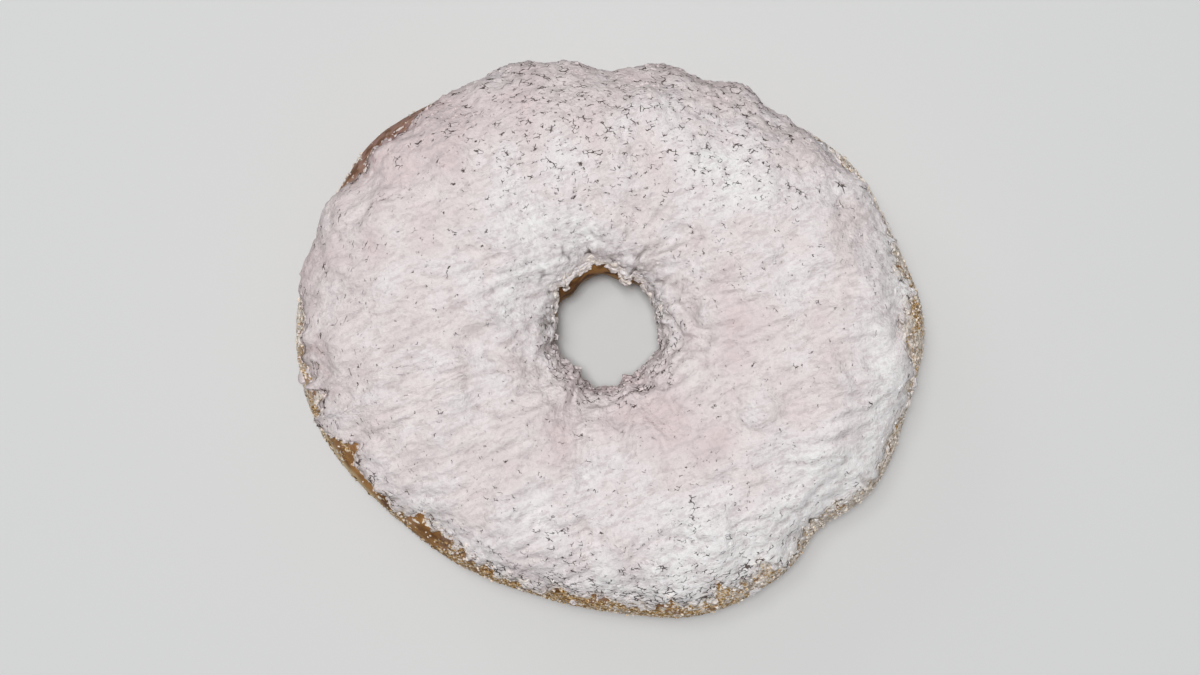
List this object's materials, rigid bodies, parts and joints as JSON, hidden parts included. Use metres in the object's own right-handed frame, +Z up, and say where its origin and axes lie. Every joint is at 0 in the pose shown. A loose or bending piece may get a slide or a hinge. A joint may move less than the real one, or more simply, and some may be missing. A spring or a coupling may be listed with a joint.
{
  "type": "doughnut",
  "caption": "Raised ring doughnut with a thick, lumpy caked coat of icing sugar that ends ragged at the rim, lying on its flattened underside.",
  "frame": {"origin": "under the middle of the ring's box, on the surface it rests on", "axes": "+Z up through the hole, +X along the longer way across the ring"},
  "size_m": [0.098, 0.0872, 0.0315],
  "materials": {
    "fried_dough": "golden brown fried crust, slightly satin, with a paler band along the widest line",
    "icing_sugar": "matte caked powder, off-white, lumpy and rippled"
  },
  "bodies": {
    "root": {"dough_ring": "fried_dough", "sugar_coat": "icing_sugar"}
  },
  "joints": []
}
